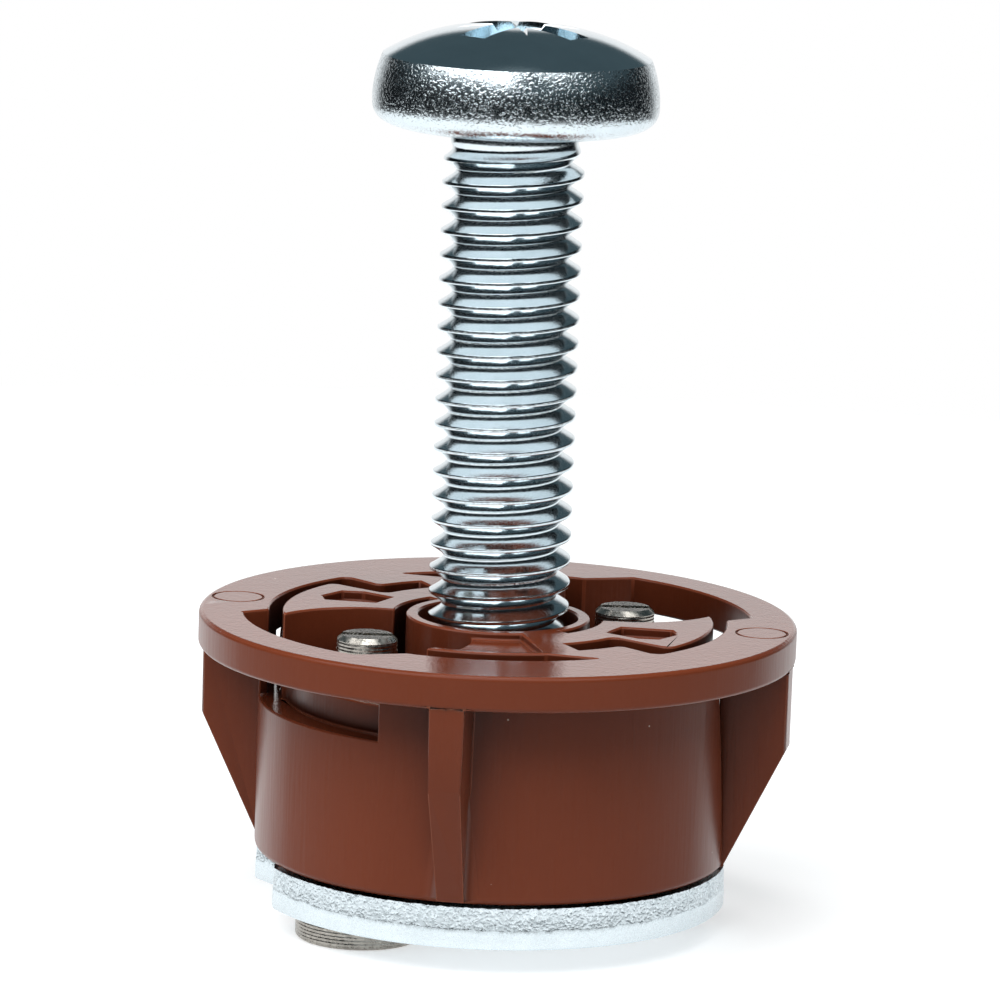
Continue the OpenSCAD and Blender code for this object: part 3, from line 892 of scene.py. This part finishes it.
def turned_steel(name, bright, dark, axis_place):
    """Bare steel with a lathe's rings: oily in its pits, brighter where it was rubbed."""
    material, tree, output = new_material(name)
    place = add_node(tree, "TexCoord").outputs["Object"]
    rings = ring_height(tree, place, axis_place)
    grime_and_painted_shade = add_node(
        tree, "TexNoise", {"Vector": place, "Scale": 1 / GRIME_SIZE, "Detail": 5.0}
    ).outputs[0]
    tint = add_node(tree, "Mix", {0: grime_and_painted_shade, 6: linear(dark), 7: linear(bright)}, data_type="RGBA")
    cut_marks = add_node(tree, "Bump", {"Height": rings, "Distance": RING_DEPTH, "Strength": 1.0})
    pits = {"Height": grime_and_painted_shade, "Distance": PIT_DEPTH, "Strength": PIT_STRENGTH}
    relief = add_node(tree, "Bump", pits | {"Normal": cut_marks.outputs[0]})
    low, high = GRAIN_RANGE
    smooth, rough = STEEL_ROUGH
    gloss = add_node(tree, "MapRange", {"Value": grime_and_painted_shade, 1: low, 2: high, 3: smooth, 4: rough})
    shader = add_node(
        tree,
        "BsdfPrincipled",
        {
            "Base Color": tint.outputs[2],
            "Metallic": 1.0,
            "Roughness": gloss.outputs[0],
            "Normal": relief.outputs[0],
        },
    )
    tree.links.new(shader.outputs[0], output.inputs[0])
    return material


print("turning lines, mm apart:", TURNING_LINE / MM)

# %% [markdown]
# ### Finishing the CAD nodes
# The pins and the bush have the right shape already, so their CAD nodes keep their place and mesh and
# get a material in their first slot. A Bevel modifier only breaks their edges, as a file would. Each
# pin has a material of its own, because the rings run round that pin's axis.

# %% Pins and bush
EDGE_BREAK = 0.03 * MM


def dress_cad(node, material):
    """Gives a CAD node a material and a modifier that breaks its sharp edges."""
    piece = nodes[node]
    piece.data.materials.clear()
    piece.data.materials.append(material)
    bevel = piece.modifiers.new("broken edges", "BEVEL")
    bevel.width = EDGE_BREAK
    bevel.segments = 2
    bevel.limit_method = "ANGLE"
    bevel.angle_limit = SHARP
    print(node, "keeps its CAD mesh, finished as", material.name)


for side in ("front", "back"):
    low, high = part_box(side + "_pin")
    pin_finish = turned_steel(
        "turned steel " + side, PIN_STEEL, PIN_STEEL_DARK, axis_place=(low + high) / 2
    )
    dress_cad(side + "_pin", pin_finish)
bush_finish = turned_steel(
    "turned steel insert", BUSH_STEEL, BUSH_STEEL_DARK, axis_place=Vector((0, 0, 0))
)
dress_cad("threaded_insert", bush_finish)

# %% [markdown]
# ## Floor
# The anchor stands on a white card, which keeps its soft shadow. The card as the camera and the
# polished metal see it is a little brighter than the light alone would make it, so that it melts into
# the white behind. The light that it throws up at the object comes from a greyer card: a Light Path
# node tells the two apart, by the kind of ray that arrives.

# %% Floor
FLOOR_R = 130 * MM
FLOOR_SHADE = 0.75
FLOOR_LIFT = 0.5
CARD_GREY = (0.58, 0.62)
FIBRE_SIZE = 0.4 * MM


def white_card():
    """Matt card with a faint mottle of paper fibres, brighter to the camera than to the object."""
    material, tree, output = new_material("matt white card")
    ray = add_node(tree, "LightPath").outputs
    seen = add_node(
        tree, "Math", {0: ray["Is Camera Ray"], 1: ray["Is Glossy Ray"]}, operation="MAXIMUM"
    )
    fibres = add_node(tree, "TexNoise", {"Scale": 1 / FIBRE_SIZE, "Detail": 2.0})
    grey = {"Value": fibres.outputs[0], 3: CARD_GREY[0], 4: CARD_GREY[1]}
    card = add_node(tree, "BsdfDiffuse", {"Color": add_node(tree, "MapRange", grey).outputs[0]})
    shade = add_node(tree, "BsdfDiffuse", {"Color": [FLOOR_SHADE] * 3 + [1.0]})
    lift = add_node(tree, "Emission", {"Color": linear("#ffffff"), "Strength": FLOOR_LIFT})
    bright = add_node(tree, "AddShader", {0: shade.outputs[0], 1: lift.outputs[0]})
    either = {0: seen.outputs[0], 1: card.outputs[0], 2: bright.outputs[0]}
    tree.links.new(add_node(tree, "MixShader", either).outputs[0], output.inputs[0])
    return material


floor_mesh = bmesh.new()
bmesh.ops.create_circle(floor_mesh, cap_ends=True, radius=FLOOR_R, segments=128)
floor_data = bpy.data.meshes.new("floor")
floor_mesh.to_mesh(floor_data)
floor_mesh.free()
floor_data.materials.append(white_card())
floor = bpy.data.objects.new("floor", floor_data)
floor.location.z = cad_box[0].z
bpy.context.scene.collection.objects.link(floor)
print("floor:", round(2 * FLOOR_R / MM), "mm across, at z =", floor.location.z)

# %% [markdown]
# ## World
# The world is white to the camera. To everything else it is a room: white behind the object, a grey
# ceiling with a paler middle, and a dim side where the camera stands. Polished metal shows that room,
# and a metal in an all-white room would look flat.

# %% World
ROOM_FRONT = "#15181a"
# Each part of the room: its axis, where on it the part starts and is full, and its colour
ROOM_WALLS = (
    ("behind", 1, 0.7, 0.92, "#ffffff"),
    ("ceiling", 2, 0.22, 0.36, "#44545a"),
    ("zenith", 2, 0.9, 0.97, "#8e9ca0"),
)

world = bpy.data.worlds.new("small studio")
bpy.context.scene.world = world
world.use_nodes = True
room = world.node_tree
room.nodes.clear()
direction = add_node(room, "TexCoord").outputs["Generated"]
along = add_node(room, "SeparateXYZ", {0: direction}).outputs
room_colour = linear(ROOM_FRONT)
for wall, axis, start, full, colour in ROOM_WALLS:
    bounds = {"Value": along[axis], 1: start, 2: full}
    share = add_node(room, "MapRange", bounds, interpolation_type="SMOOTHSTEP").outputs[0]
    mixed = {0: share, 6: room_colour, 7: linear(colour)}
    room_colour = add_node(room, "Mix", mixed, data_type="RGBA", label=wall).outputs[2]
camera_sees = add_node(room, "LightPath").outputs["Is Camera Ray"]
seen_world = {0: camera_sees, 6: room_colour, 7: linear("#ffffff")}
seen_colour = add_node(room, "Mix", seen_world, data_type="RGBA").outputs[2]
background = add_node(room, "Background", {"Color": seen_colour, "Strength": 1.0})
world_output = room.nodes.new("ShaderNodeOutputWorld")
room.links.new(background.outputs[0], world_output.inputs[0])
print("world:", world.name)

# %% [markdown]
# ## Lamps
# A large softbox on the left lights the walls and the face. A narrow strip on the right of the camera
# draws a bright line down the shank, and a small lamp on the ceiling lifts the crown and the face. All
# three stand before or over the object, so that no lamp is mirrored in the face towards the camera.

# %% Lamps
MIDDLE = (cad_box[0] + cad_box[1]) / 2
# Name, azimuth and elevation in degrees, distance, width and height in metres, and watts
LAMPS = (
    ("left softbox", -44, 50, 0.34, 0.46, 0.24, 1.2),
    ("right strip in front", 42, 54, 0.34, 0.15, 0.22, 0.36),
    ("ceiling lamp", -20, 84, 0.35, 0.12, 0.08, 0.25),
)


def soft_lamp(name, azimuth, elevation, distance, width, height, power):
    """A rectangular lamp that faces the object. Azimuth 0 is the camera's side, 90 the right."""
    data = bpy.data.lights.new(name, "AREA")
    data.shape = "RECTANGLE"
    data.size, data.size_y = width, height
    data.energy = power
    lamp = bpy.data.objects.new(name, data)
    a, e = math.radians(azimuth), math.radians(elevation)
    away = Vector((math.sin(a) * math.cos(e), -math.cos(a) * math.cos(e), math.sin(e)))
    lamp.location = MIDDLE + away * distance
    lamp.rotation_euler = away.to_track_quat("Z", "Y").to_euler()
    bpy.context.scene.collection.objects.link(lamp)


for settings in LAMPS:
    soft_lamp(*settings)

# %% [markdown]
# ## Camera
# The picture is taken from a little above, with a long lens, from a quarter of a metre away. The
# camera is turned a little about its own line of sight, which makes the screw lean to the right.

# %% Camera
LENS = 238.12
SENSOR = 36
TARGET = Vector((-0.09, 0.0, 17.715)) * MM
CAMERA_PLACE = Vector((-0.09, -267.655, 67.782)) * MM
CAMERA_ROLL = math.radians(1.998)

camera_data = bpy.data.cameras.new("camera")
camera_data.lens = LENS
camera_data.sensor_width = SENSOR
camera_data.clip_start = 10 * MM
camera = bpy.data.objects.new("camera", camera_data)
aim = (TARGET - CAMERA_PLACE).to_track_quat("-Z", "Y").to_matrix().to_4x4()
roll = Matrix.Rotation(CAMERA_ROLL, 4, "Z")
camera.matrix_world = Matrix.Translation(CAMERA_PLACE) @ aim @ roll
bpy.context.scene.collection.objects.link(camera)
bpy.context.scene.camera = camera
print("camera:", round((TARGET - CAMERA_PLACE).length / MM), "mm from its target")

# %% [markdown]
# The Standard view transform shows the colours as they were picked.

# %% Finish
bpy.context.scene.view_settings.view_transform = "Standard"
